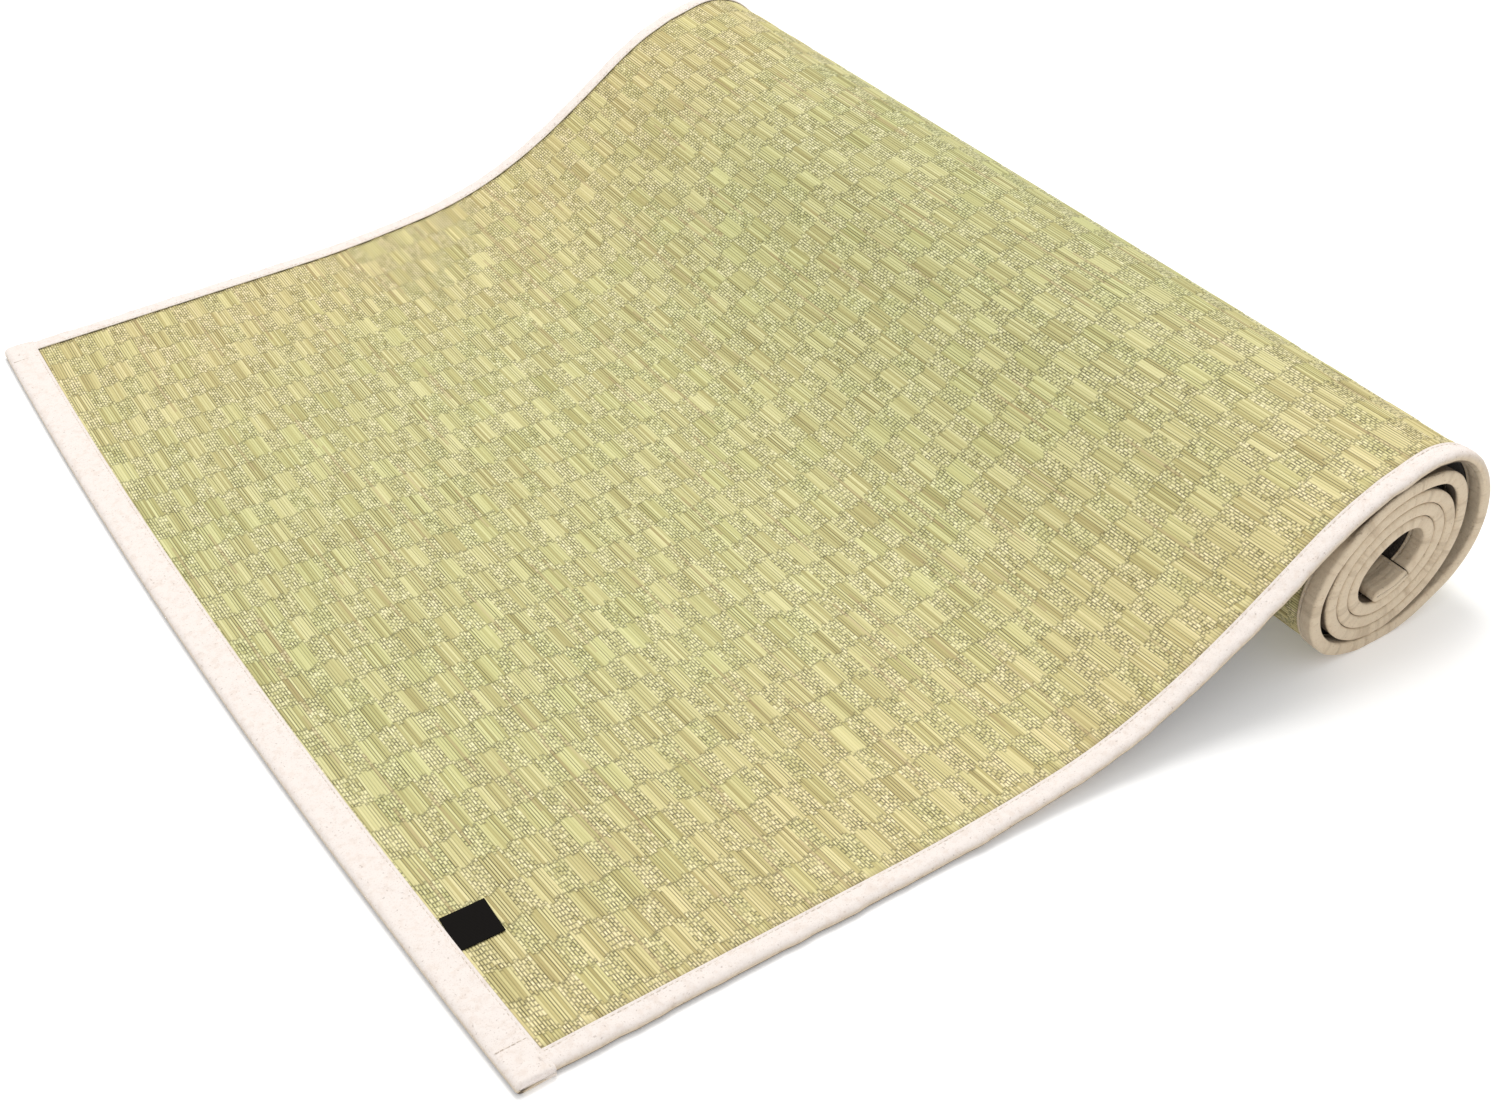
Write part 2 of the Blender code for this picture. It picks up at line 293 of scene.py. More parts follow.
@dataclass(frozen=True)
class MatLine:
    """The mat's mid-thickness line, from the flat end to the core of the roll."""

    width: float = 0.610
    thickness: float = 0.0062
    cloth: float = 0.0008
    clearance: float = 0.0003
    end_x: float = -0.002
    end_bow: float = 0.0086
    lead: float = 12 * MM
    flat_run: float = 0.190
    rise: Table = (
        # arc length from the flat end (m), slope (degrees)
        (0.190, 0.0),
        (0.228, 4.1),
        (0.266, 6.4),
        (0.303, 16.0),
        (0.341, 24.9),
        (0.369, 30.1),
        (0.398, 32.6),
        (0.426, 31.8),
        (0.454, 21.3),
        (0.482, 10.1),
    )
    rise_end: float = 0.450
    roll_x: float = 0.458
    roll_z: float = 0.0451
    outer_loop: Table = (
        # angle from the top, clockwise (degrees), radius to mid-thickness (m)
        (-18.0, 0.0443),
        (0.0, 0.0456),
        (26.0, 0.0533),
        (45.0, 0.0572),
        (65.0, 0.0580),
        (82.0, 0.0573),
        (104.0, 0.0548),
        (121.0, 0.0503),
        (135.0, 0.0460),
        (151.0, 0.0436),
        (180.0, 0.0424),
        (205.0, 0.0448),
        (225.0, 0.0480),
        (245.0, 0.0486),
        (264.0, 0.0466),
        (285.0, 0.0425),
        (305.0, 0.0386),
        (325.0, 0.0367),
        (345.0, 0.0370),
    )
    core_radius: float = 0.0399
    core_oval: float = 0.0036
    core_lean: float = 58.0
    turn_pitch: float = 0.0066
    core_start: float = 345.0
    core_end: float = 1640.0
    bulge_angle: float = 405.0
    bulge_height: float = 0.0036
    bulge_spread: float = 22.0
    fine: float = 0.0005
    soften: float = 0.002
    shift: float = 0.257963
    points: Array = field(init=False, repr=False)
    normals: Array = field(init=False, repr=False)
    lengths: Array = field(init=False, repr=False)

    def __post_init__(self) -> None:
        """Work the line out once, at fine and even steps."""
        rough = np.array(self.rise_points() + self.roll_points())
        points = self.even(self.softened(self.even(rough)))
        along = np.gradient(points, axis=0)
        along /= np.linalg.norm(along, axis=1)[:, None]
        object.__setattr__(self, "points", points)
        object.__setattr__(self, "normals", np.stack([-along[:, 1], along[:, 0]], axis=1))
        object.__setattr__(self, "lengths", self.running(points) + points[0, 0])

    @property
    def half(self) -> float:
        """Half of the mat's width."""
        return self.width / 2

    @property
    def half_edge(self) -> float:
        """Half of the bound edge's thickness."""
        return self.thickness / 2

    @property
    def body_half(self) -> float:
        """Half of the width of the rush and the underlay inside their binding."""
        return self.half - self.cloth - self.clearance

    @property
    def end(self) -> float:
        """Length along the mat at its core end."""
        return float(self.lengths[-1])

    @staticmethod
    def smooth(table: Table, x: float) -> float:
        """Value at x of a smooth curve through a table's rows.

        Args:
            table: rows of a place and a value.
            x: the place.

        Returns:
            The value there.
        """
        xs, ys = np.array(table).T
        steps = np.diff(ys) / np.diff(xs)
        slopes = np.concatenate([steps[:1], (steps[1:] + steps[:-1]) / 2, steps[-1:]])
        i = int(np.clip(np.searchsorted(xs, x) - 1, 0, len(xs) - 2))
        run = xs[i + 1] - xs[i]
        t = (x - xs[i]) / run
        return float(
            (1 + 2 * t) * (1 - t) ** 2 * ys[i]
            + t * (1 - t) ** 2 * run * slopes[i]
            + t * t * (3 - 2 * t) * ys[i + 1]
            + t * t * (t - 1) * run * slopes[i + 1]
        )

    def rise_points(self) -> list[Pair]:
        """Points of the flat run and the rise, at fine steps.

        Returns:
            The points, from the flat end on.
        """
        x, z, length = -self.lead, self.half_edge, -self.lead
        points = [(x, z)]
        while length < self.rise_end:
            middle = length + self.fine / 2
            slope = math.radians(self.smooth(self.rise, middle)) if middle > self.flat_run else 0.0
            x += math.cos(slope) * self.fine
            z += math.sin(slope) * self.fine
            length += self.fine
            points.append((x, z))
        return points

    def on_roll(self, angle: float, radius: float) -> Pair:
        """Point at an angle from the roll's top, clockwise in degrees, and a radius."""
        turn = math.radians(angle)
        return (self.roll_x + radius * math.sin(turn), self.roll_z + radius * math.cos(turn))

    def core_point(self, angle: float) -> Pair:
        """Point of the core: an oval that moves in along its own normals as it winds.

        Args:
            angle: from the roll's top, clockwise in degrees.

        Returns:
            The point.
        """
        turn = math.radians(angle)
        lean = 2 * (turn - math.radians(self.core_lean))
        radius = self.core_radius + self.core_oval * math.cos(lean)
        growth = -2 * self.core_oval * math.sin(lean)
        x, z = self.on_roll(angle, radius)
        along_x = growth * math.sin(turn) + radius * math.cos(turn)
        along_z = growth * math.cos(turn) - radius * math.sin(turn)
        size = math.hypot(along_x, along_z)
        inward = self.turn_pitch * (angle - 360.0) / 360.0
        inward -= self.bulge_height * math.exp(-(((angle - self.bulge_angle) / self.bulge_spread) ** 2))
        return (x + along_z / size * inward, z - along_x / size * inward)

    def roll_points(self) -> list[Pair]:
        """Points of the outer loop and the core, one to a degree.

        Returns:
            The points, outside first.
        """
        points = []
        for angle in np.arange(self.outer_loop[0][0], self.core_end, 1.0):
            if angle < self.core_start:
                x, z = self.on_roll(angle, self.smooth(self.outer_loop, angle))
                points.append((x, max(z, self.half_edge)))
            else:
                points.append(self.core_point(angle))
        points.append(self.core_point(self.core_end))
        return points

    @staticmethod
    def running(points: Array) -> Array:
        """Length along a line at each of its points."""
        steps = np.linalg.norm(np.diff(points, axis=0), axis=1)
        return np.concatenate([[0.0], np.cumsum(steps)])

    def even(self, points: Array) -> Array:
        """Space a line's points evenly.

        Args:
            points: the line.

        Returns:
            The same line at even steps.
        """
        lengths = self.running(points)
        places = np.linspace(0.0, lengths[-1], int(lengths[-1] / self.fine) + 1)
        return np.stack([np.interp(places, lengths, points[:, k]) for k in (0, 1)], axis=1)

    def softened(self, points: Array) -> Array:
        """Round off a line's kinks and keep its ends.

        Args:
            points: the line, at even steps.

        Returns:
            The softened line.
        """
        reach = int(3 * self.soften / self.fine)
        weights = np.exp(-0.5 * (np.arange(-reach, reach + 1) * self.fine / self.soften) ** 2)
        weights /= weights.sum()
        head = points[0] - (points[1] - points[0]) * np.arange(reach, 0, -1)[:, None]
        tail = points[-1] + (points[-1] - points[-2]) * np.arange(1, reach + 1)[:, None]
        longer = np.vstack([head, points, tail])
        return np.stack([np.convolve(longer[:, k], weights, mode="valid") for k in (0, 1)], axis=1)

    def bow(self, across: Array) -> Array:
        """Length along the mat of the bowed flat end at a place across."""
        return self.end_x + self.end_bow * (across / self.half) ** 2

    def place(self, length: Array, across: Array, height: Array) -> Array:
        """Turn the mat's own three numbers into points of the frame.

        Args:
            length: along the mat from its flat end.
            across: place across its width.
            height: above mid-thickness, on the rush side.

        Returns:
            An array of points, with one more axis than the inputs.
        """
        length, across, height = np.broadcast_arrays(length, across, height)
        x, z = (np.interp(length, self.lengths, self.points[:, k]) for k in (0, 1))
        nx, nz = (np.interp(length, self.lengths, self.normals[:, k]) for k in (0, 1))
        size = np.hypot(nx, nz)
        x = x + nx / size * height - self.shift
        z = z + nz / size * height
        return np.stack([x, across, np.maximum(z, 0.0)], axis=-1)


def link_mesh(name: str, points: Array, faces: list[list[int]]) -> Piece:
    """Make a smooth-shaded piece, its object at the origin.

    Args:
        name: the piece's name.
        points: its points.
        faces: the numbers of each face's points.

    Returns:
        The piece.
    """
    mesh = bpy.data.meshes.new(name)
    mesh.from_pydata(points.reshape(-1, 3).tolist(), [], faces)
    mesh.shade_smooth()
    piece = bpy.data.objects.new(name, mesh)
    bpy.context.scene.collection.objects.link(piece)
    return piece


def loft(name: str, rings: Array, *maps: Array) -> Piece:
    """Skin a row of closed rings, closed at both ends, with faces that point outwards.

    Args:
        name: the piece's name.
        rings: points, as rings by points round each ring by 3.
        maps: U and V, each an array that broadcasts to rings by points.

    Returns:
        The piece.
    """
    count, around = rings.shape[:2]
    i, j = np.meshgrid(np.arange(count - 1), np.arange(around), indexing="ij")
    k = (j + 1) % around
    low, high = i * around, (i + 1) * around
    faces = np.stack([low + j, low + k, high + k, high + j], axis=-1).reshape(-1, 4).tolist()
    faces.append(list(range(around))[::-1])
    faces.append([(count - 1) * around + n for n in range(around)])
    piece = link_mesh(name, rings, faces)
    mesh = piece.data
    corners = np.zeros(len(mesh.loops), dtype=np.int32)
    mesh.loops.foreach_get("vertex_index", corners)
    uvs = np.stack(np.broadcast_arrays(*maps), axis=-1).reshape(-1, 2)
    layer = mesh.uv_layers.new(name=UV_MAP)
    layer.data.foreach_set("uv", uvs[corners].astype(np.float32).ravel())
    turn_outwards(mesh)
    return piece


def turn_outwards(mesh: bpy.types.Mesh) -> None:
    """Turn a mesh's faces over if they point inwards.

    Args:
        mesh: a closed mesh.
    """
    shape = bmesh.new()
    shape.from_mesh(mesh)
    if shape.calc_volume(signed=True) < 0:
        bmesh.ops.reverse_faces(shape, faces=shape.faces)
        shape.to_mesh(mesh)
    shape.free()


def finish_piece(piece: Piece, material: Material, slot: str, *nodes: str) -> None:
    """Dress a piece, set it on the mat and let it stand for its solids.

    Args:
        piece: the piece.
        material: its finish.
        slot: the record's material slot; not used.
        nodes: the solids that it stands for.
    """
    piece.data.materials.append(material)
    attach(piece, "root")
    if nodes:
        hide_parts(*nodes)
    LOG.info("%s: %d faces", piece.name, len(piece.data.polygons))


def ripple(place: Array, waves: Iterable[Pair], seed: int) -> Array:
    """Uneven waves along a length, the same each time.

    Args:
        place: where to read them, in metres.
        waves: rows of a wavelength and a height, in metres.
        seed: picks the waves' phases.

    Returns:
        The height at each place.
    """
    wander, longer = 0.8, 3.7
    phases = np.random.default_rng(seed)
    total = np.zeros_like(place)
    for length, height in waves:
        start, drift = phases.uniform(0, 2 * math.pi, 2)
        late = wander * np.sin(2 * math.pi * place / (longer * length) + drift)
        total = total + height * np.sin(2 * math.pi * place / length + start + late)
    return total


def ramp_up(value: Array, start: float, run: float) -> Array:
    """Rise from 0 at a start to 1 after a run, and stay there."""
    return np.clip((value - start) / run, 0, 1)


def fade_out(distance: Array, first: float, run: float, least: float = 0.0) -> Array:
    """Fall from a first value by 1 over a run, kept between the least and 1."""
    return np.clip(first - distance / run, least, 1)


@dataclass(frozen=True)
class StrawPlace:
    """Where a point of the weave lies, as sockets.

    The place across and along is in blocks, the straw, column and row are whole numbers, and
    side and tip grow from 0 to 1 towards the straw's long sides and the ends of its block.
    """

    across: Socket
    along: Socket
    straw: Socket
    column: Socket
    row: Socket
    side: Socket
    tip: Socket


@dataclass(frozen=True)
class RushFinish:
    """Pale green rush: smooth floats in a checker on a stippled plain ground.

    Pairs named for a spread hold the share of a random draw and what is added to it, and those
    named for noise its scale and octaves. The relief is a height and how much of it shows.
    Other pairs hold where something starts and where it is full.
    """

    straws: float = 7.0
    middle: float = 2.12
    reach: float = 15.7
    # dark of the painted shade between straws, at their tucked ends and under the far binding's lip
    deep: Colour = (0.060, 0.054, 0.020)
    straw_tones: tuple[tuple[float, Colour], ...] = (
        # share of the straws, colour
        (0.00, (0.340, 0.270, 0.110)),
        (0.14, (0.520, 0.455, 0.205)),
        (0.34, (0.660, 0.605, 0.300)),
        (0.58, (0.770, 0.710, 0.385)),
        (0.80, (0.880, 0.805, 0.470)),
        (1.00, (0.985, 0.900, 0.570)),
    )
    jag: float = 0.18
    float_end: Pair = (0.86, 1.0)
    float_end_dark: float = 0.6
    own_tone: float = 0.50
    streak_tone: float = 0.22
    streak_run: Pair = (0.4, 0.73)
    float_gap: Pair = (0.42, 1.0)
    gap_spread: Pair = (0.95, 0.12)
    gap_power: float = 1.1
    dashes: float = 6.5
    dash_phase: float = 3.0
    dash_end: Pair = (0.44, 0.90)
    dash_spread: Pair = (0.52, 0.16)
    bunch: float = 0.5
    bunch_tone: float = 0.32
    dash_gap: Pair = (0.26, 0.92)
    beside_spread: Pair = (0.58, 0.42)
    between_spread: Pair = (0.60, 0.22)
    green_blocks: Pair = (0.35, 1.0)
    green_share: float = 0.4
    green_block: Colour = (0.90, 0.985, 0.86)
    roundness: float = 2.4
    relief: Pair = (0.25 * MM, 0.5)
    dash_drop: float = 0.75
    patch_run: Pair = (0.16, 0.08)
    patchiness: float = 0.7
    edge_yellow: Pair = (0.35, 1.05)
    greener: Colour = (0.965, 0.985, 0.94)
    yellower: Colour = (1.03, 0.965, 0.92)
    # painted shade on the steep rise, strongest across the middle of the width
    rise_shade_rows: Pair = (28.0, 44.0)
    rise_shade_share: float = 0.48
    rise_shade: Colour = (0.80, 0.84, 0.80)
    inward_power: float = 2.0
    tan_straws: Pair = (0.955, 0.985)
    tan_run: float = 0.5
    tan_share: float = 0.38
    tan: Colour = (0.40, 0.27, 0.14)
    lip: Pair = (0.988, 0.999)
    lip_share: float = 0.28
    lip_shade: Colour = (0.23, 0.18, 0.08)
    far_gap: Pair = (0.9965, 0.9995)
    raggedness: float = 0.006
    ragged_noise: Pair = (0.7, 2.0)
    torn_noise: Pair = (0.35, 3.0)
    torn: Pair = (0.40, 0.62)
    torn_spread: Pair = (0.55, 0.20)

    def material(self) -> Material:
        """Read the weave from the piece's own U across and V along, one block to a unit.

        Returns:
            The weave.
        """
        g = Graph("rush_weave")
        at = self.straw_place(g)
        floats = g.math("FLOORED_MODULO", g.plus(at.column, at.row), 2.0)
        dash_place = g.plus(
            g.times(at.across, self.dashes),
            g.times(g.dice(at.straw, Draw.PHASE), self.dash_phase),
        )
        dash_tip = g.ease(g.off_middle(dash_place), *self.dash_end)
        plain = self.plain_colour(g, at, g.floor(dash_place), dash_tip)
        woven = g.mix(floats, plain, self.float_colour(g, at))
        green = g.ease(g.dice(at.column, at.row, Draw.GREEN), *self.green_blocks)
        woven = g.tint(g.times(green, self.green_share), woven, self.green_block)
        self.raise_straws(g, at, floats, dash_tip)
        return g.surface(self.tint_and_shade(g, at, woven), Roughness=0.5, Specular_IOR_Level=0.3)

    def straw_place(self, g: Graph) -> StrawPlace:
        """Find the straw and the block of each point.

        Args:
            g: the material's graph.

        Returns:
            The point's place in the weave.
        """
        across, along = g.own_map()
        straws_along = g.times(g.plus(along, 0.5), self.straws)
        straw = g.floor(straws_along)
        jag = g.times(g.less(g.dice(straw, Draw.JAG), 0.5), self.jag)
        blocks_across = g.plus(across, 0.5, jag)
        row = g.floor(g.math("DIVIDE", g.plus(straw, 0.5), self.straws))
        tip = g.ease(g.off_middle(blocks_across), *self.float_end)
        side = g.off_middle(straws_along)
        return StrawPlace(across, along, straw, g.floor(blocks_across), row, side, tip)

    def float_colour(self, g: Graph, at: StrawPlace) -> Socket:
        """Colour of the floats: each straw's own tone and streaks, with painted shade in the gaps between
        straws and at the floats' tucked ends.

        Args:
            g: the material's graph.
            at: the place in the weave.

        Returns:
            The colour.
        """
        where = g.at_scale((at.across, at.straw), self.streak_run)
        streak = g.noise(where, 1.0, 1.0)
        own = g.dice(at.straw, at.column, Draw.TONE)
        tone = g.plus(g.times(own, self.own_tone), g.times(streak, self.streak_tone))
        depth = g.math("POWER", g.dice(at.straw, at.column, Draw.DEPTH), self.gap_power)
        # painted shade: darker at each straw's long sides and at the float's tucked ends
        dark = g.times(g.ease(at.side, *self.float_gap), g.spread(depth, self.gap_spread))
        dark = g.math("MAXIMUM", dark, g.times(at.tip, self.float_end_dark))
        return g.mix(dark, g.ramp(tone, self.straw_tones), self.deep)

    def plain_colour(self, g: Graph, at: StrawPlace, dash: Socket, tip: Socket) -> Socket:
        """Colour of the plain ground: short dashes of straw with painted shade beside and between them.

        Args:
            g: the material's graph.
            at: the place in the weave.
            dash: the dash's number along its straw.
            tip: from 0 at the dash's middle to 1 at its ends.

        Returns:
            The colour.
        """
        bunch = g.dice(*(g.floor(g.times(n, self.bunch)) for n in (at.straw, dash)))
        tone = g.spread(g.dice(dash, at.straw, Draw.DASH), self.dash_spread)
        tone = g.plus(tone, g.times(bunch, self.bunch_tone))
        beside = g.spread(g.dice(dash, at.straw, Draw.BESIDE), self.beside_spread)
        between = g.spread(g.dice(dash, at.straw, Draw.BETWEEN), self.between_spread)
        # painted shade beside each dash and between dashes
        dark = g.times(g.ease(at.side, *self.dash_gap), beside)
        dark = g.math("MAXIMUM", dark, g.times(tip, between))
        return g.mix(dark, g.ramp(tone, self.straw_tones), self.deep)

    def raise_straws(self, g: Graph, at: StrawPlace, floats: Socket, dash_tip: Socket) -> None:
        """Round the straws and drop their ends.

        Args:
            g: the material's graph.
            at: the place in the weave.
            floats: 1 on a float, 0 on the plain ground.
            dash_tip: from 0 at a dash's middle to 1 at its ends.
        """
        rounding = g.less(1.0, g.math("POWER", at.side, self.roundness))
        inputs = {
            0: floats,
            2: g.times(rounding, g.less(1.0, g.times(dash_tip, self.dash_drop))),
            3: g.less(rounding, g.times(at.tip, self.float_end_dark)),
        }
        g.bump(g.node("Mix", inputs, data_type="FLOAT").outputs[0], *self.relief)

    def tint_and_shade(self, g: Graph, at: StrawPlace, woven: Socket) -> Socket:
        """Tint the weave: yellower at its edges, greener in the middle, with a few tan straws, and paint
        shade on the steep rise, along the bindings' lips and in the gap under the far binding's lip.

        Args:
            g: the material's graph.
            at: the place in the weave.
            woven: the weave's colour.

        Returns:
            The tinted colour.
        """
        off_middle = g.math("ABSOLUTE", g.less(at.across, self.middle))
        off_centre = g.math("DIVIDE", off_middle, self.reach)
        where = g.at_scale((at.across, at.along), self.patch_run)
        patchy = g.times(g.less(g.noise(where, 1.0, 3.0), 0.5), self.patchiness)
        yellowing = g.math("ADD", g.ease(off_centre, *self.edge_yellow), patchy, clamp=True)
        tinted = g.mix(yellowing, g.dyed(woven, self.greener), g.dyed(woven, self.yellower))
        inward = g.less(1.0, g.math("POWER", off_centre, self.inward_power))
        # painted shade on the steep rise, fading towards the long edges
        rise_shade = g.times(g.ease(at.along, *self.rise_shade_rows), inward, self.rise_shade_share)
        stretch = g.floor(g.times(at.across, self.tan_run))
        tan = g.ease(g.dice(at.straw, stretch, Draw.TAN), *self.tan_straws)
        colour = g.mix(g.times(tan, self.tan_share), g.tint(rise_shade, tinted, self.rise_shade), self.tan)
        lip = g.times(g.ease(off_centre, *self.lip), self.lip_share)
        colour = g.mix(lip, colour, self.lip_shade)
        # painted shade in the gap under the far binding's lip, a dark line broken up along the straws
        towards_far = g.math("DIVIDE", g.less(self.middle, at.across), self.reach)
        ragged = g.times(g.less(g.noise(g.join(at.straw, 0.0), *self.ragged_noise), 0.5), self.raggedness)
        torn = g.ease(g.noise(g.join(at.straw, Draw.TORN), *self.torn_noise), *self.torn)
        gap = g.ease(g.plus(towards_far, ragged), *self.far_gap)
        return g.mix(g.times(gap, g.spread(torn, self.torn_spread)), colour, self.deep)


@dataclass(frozen=True)
class ClothFinish:
    """Soft cream binding cloth with small flecks, tan where it is soiled and where painted shade falls,
    with painted shade in its pleats and in the gaps between turns.
    """

    cream: Colour = (0.860, 0.785, 0.735)
    # tan of soil and painted shade
    warm: Colour = (0.700, 0.580, 0.425)
    gap_shade: Colour = (0.080, 0.052, 0.030)
    marks: tuple[tuple[float, float, float, Pair, float, Colour], ...] = (
        # noise: its scale, octaves and roughness, start and full, share, dye
        (260.0, 3.0, 0.6, (0.46, 0.72), 0.30, (0.80, 0.70, 0.62)),
        (1500.0, 2.0, 0.6, (0.56, 0.70), 0.32, (0.62, 0.55, 0.50)),
        (650.0, 1.0, 0.4, (0.69, 0.75), 0.40, (0.42, 0.36, 0.32)),
    )
    pleat_run: Pair = (260.0, 1.6)
    pleat_dark: Pair = (0.50, 0.30)
    pleat_share: float = 0.34
    pleat_shade_colour: Colour = (0.50, 0.44, 0.38)
    pleat_spread: Pair = (2.6, 0.7)
    gap_shade_share: float = 0.9
    soiled_and_shaded: Pair = (0.05, 1.0)
    in_gap: Pair = (1.1, 2.0)
    nap: Triple = (1900.0, 3.0, 0.65)
    nap_share: float = 0.5
    waves: Pair = (300.0, 2.0)
    waves_share: float = 1.1
    relief: Pair = (0.42 * MM, 0.9)

    def material(self) -> Material:
        """Read the cloth from object coordinates and its own U, the soil and painted shade, and V along.

        Returns:
            The cloth.
        """
        g = Graph("binding_cloth")
        place = g.object_place()
        soil_and_shade_level, along = g.own_map()
        turned = g.ease(soil_and_shade_level, *self.soiled_and_shaded)
        where = g.at_scale((along, soil_and_shade_level), self.pleat_run)
        pleat = g.noise(where, 1.0, 4.0)
        base = g.mix(turned, self.cream, self.warm)
        for scale, octaves, rough, limits, share, dye in self.marks:
            mark = g.ease(g.noise(place, scale, octaves, rough), *limits)
            base = g.tint(g.times(mark, share), base, dye)
        # painted shade in the pleats' creases, where the cloth is tan
        pleat_shade = g.times(g.ease(pleat, *self.pleat_dark), g.times(turned, self.pleat_share))
        base = g.tint(pleat_shade, base, self.pleat_shade_colour)
        # painted shade in the gaps between the wound turns
        base = g.mix(g.times(g.ease(soil_and_shade_level, *self.in_gap), self.gap_shade_share), base, self.gap_shade)
        nap = g.times(g.noise(place, *self.nap), self.nap_share)
        waves = g.times(g.noise(place, *self.waves), self.waves_share)
        pleats = g.times(pleat, g.spread(turned, self.pleat_spread))
        g.bump(g.plus(nap, waves, pleats), *self.relief)
        gloss = {"Sheen_Weight": 0.08, "Sheen_Roughness": 0.5}
        return g.surface(base, Roughness=0.92, Specular_IOR_Level=0.12, **gloss)


@dataclass(frozen=True)
class UnderlayFinish:
    """Dark felted underlay."""

    hollow: Colour = (0.022, 0.018, 0.016)
    hair: Colour = (0.085, 0.070, 0.058)
    dust: Colour = (0.05, 0.042, 0.036)
    hairs: Triple = (1300.0, 3.0, 0.7)
    hair_tips: Pair = (0.40, 0.75)
    dust_noise: Pair = (45.0, 2.0)
    dusty: Pair = (0.4, 0.7)
    dust_share: float = 0.4
    relief: Pair = (0.4 * MM, 0.8)

    def material(self) -> Material:
        """Read the felt from object coordinates.

        Returns:
            The felt.
        """
        g = Graph("underlay_felt")
        place = g.object_place()
        hairs = g.noise(place, *self.hairs)
        dusty = g.times(g.ease(g.noise(place, *self.dust_noise), *self.dusty), self.dust_share)
        colour = g.mix(g.ease(hairs, *self.hair_tips), self.hollow, self.hair)
        colour = g.mix(dusty, colour, self.dust)
        g.bump(hairs, *self.relief)
        return g.surface(colour, Roughness=0.97, Specular_IOR_Level=0.1, Sheen_Weight=0.15)


@dataclass(frozen=True)
class ThreadFinish:
    """Cream sewing thread, twisted."""

    shade: Colour = (0.52, 0.44, 0.36)
    light: Colour = (0.80, 0.73, 0.64)
    twist: Pair = (2200.0, 1.0)
    between: Pair = (0.35, 0.65)
    relief: Pair = (0.1 * MM, 0.6)

    def material(self) -> Material:
        """Read the thread from object coordinates.

        Returns:
            The thread.
        """
        g = Graph("sewing_thread")
        twist = g.noise(g.object_place(), *self.twist)
        colour = g.mix(g.ease(twist, *self.between), self.shade, self.light)
        g.bump(twist, *self.relief)
        return g.surface(colour, Roughness=0.8, Specular_IOR_Level=0.25)


@dataclass(frozen=True)
class TabFinish:
    """Bare black woven tape with fine ribs."""

    ribs: float = 9000.0
    between: Colour = (0.006, 0.0055, 0.005)
    rib: Colour = (0.016, 0.014, 0.013)
    rib_edges: Pair = (-0.6, 0.9)
    relief: Pair = (0.06 * MM, 0.5)

    def material(self) -> Material:
        """Read the tape from object coordinates.

        Returns:
            The tape.
        """
        g = Graph("tab_tape")
        places = g.split(g.object_place())
        weave = g.times(*(g.math("SINE", g.times(place, self.ribs)) for place in places))
        colour = g.mix(g.ease(weave, *self.rib_edges), self.between, self.rib)
        g.bump(weave, *self.relief)
        return g.surface(colour, Roughness=0.85, Specular_IOR_Level=0.02)


@dataclass(frozen=True)
class FloorFinish:
    """Plain pale floor, lit a little from below as a light table is."""

    glow: float = 0.15
    shade: Colour = (0.93, 0.93, 0.93)
    light: Colour = (0.95, 0.95, 0.95)

    def material(self) -> Material:
        """Make a near-white matt surface with the faintest unevenness.

        Returns:
            The floor.
        """
        g = Graph("pale_floor")
        colour = g.mix(g.ease(g.noise(g.object_place(), 3.0), 0.2, 0.8), self.shade, self.light)
        glow = {"Emission_Color": (1.0, 1.0, 1.0, 1.0), "Emission_Strength": self.glow}
        return g.surface(colour, Roughness=0.9, Specular_IOR_Level=0.1, **glow)


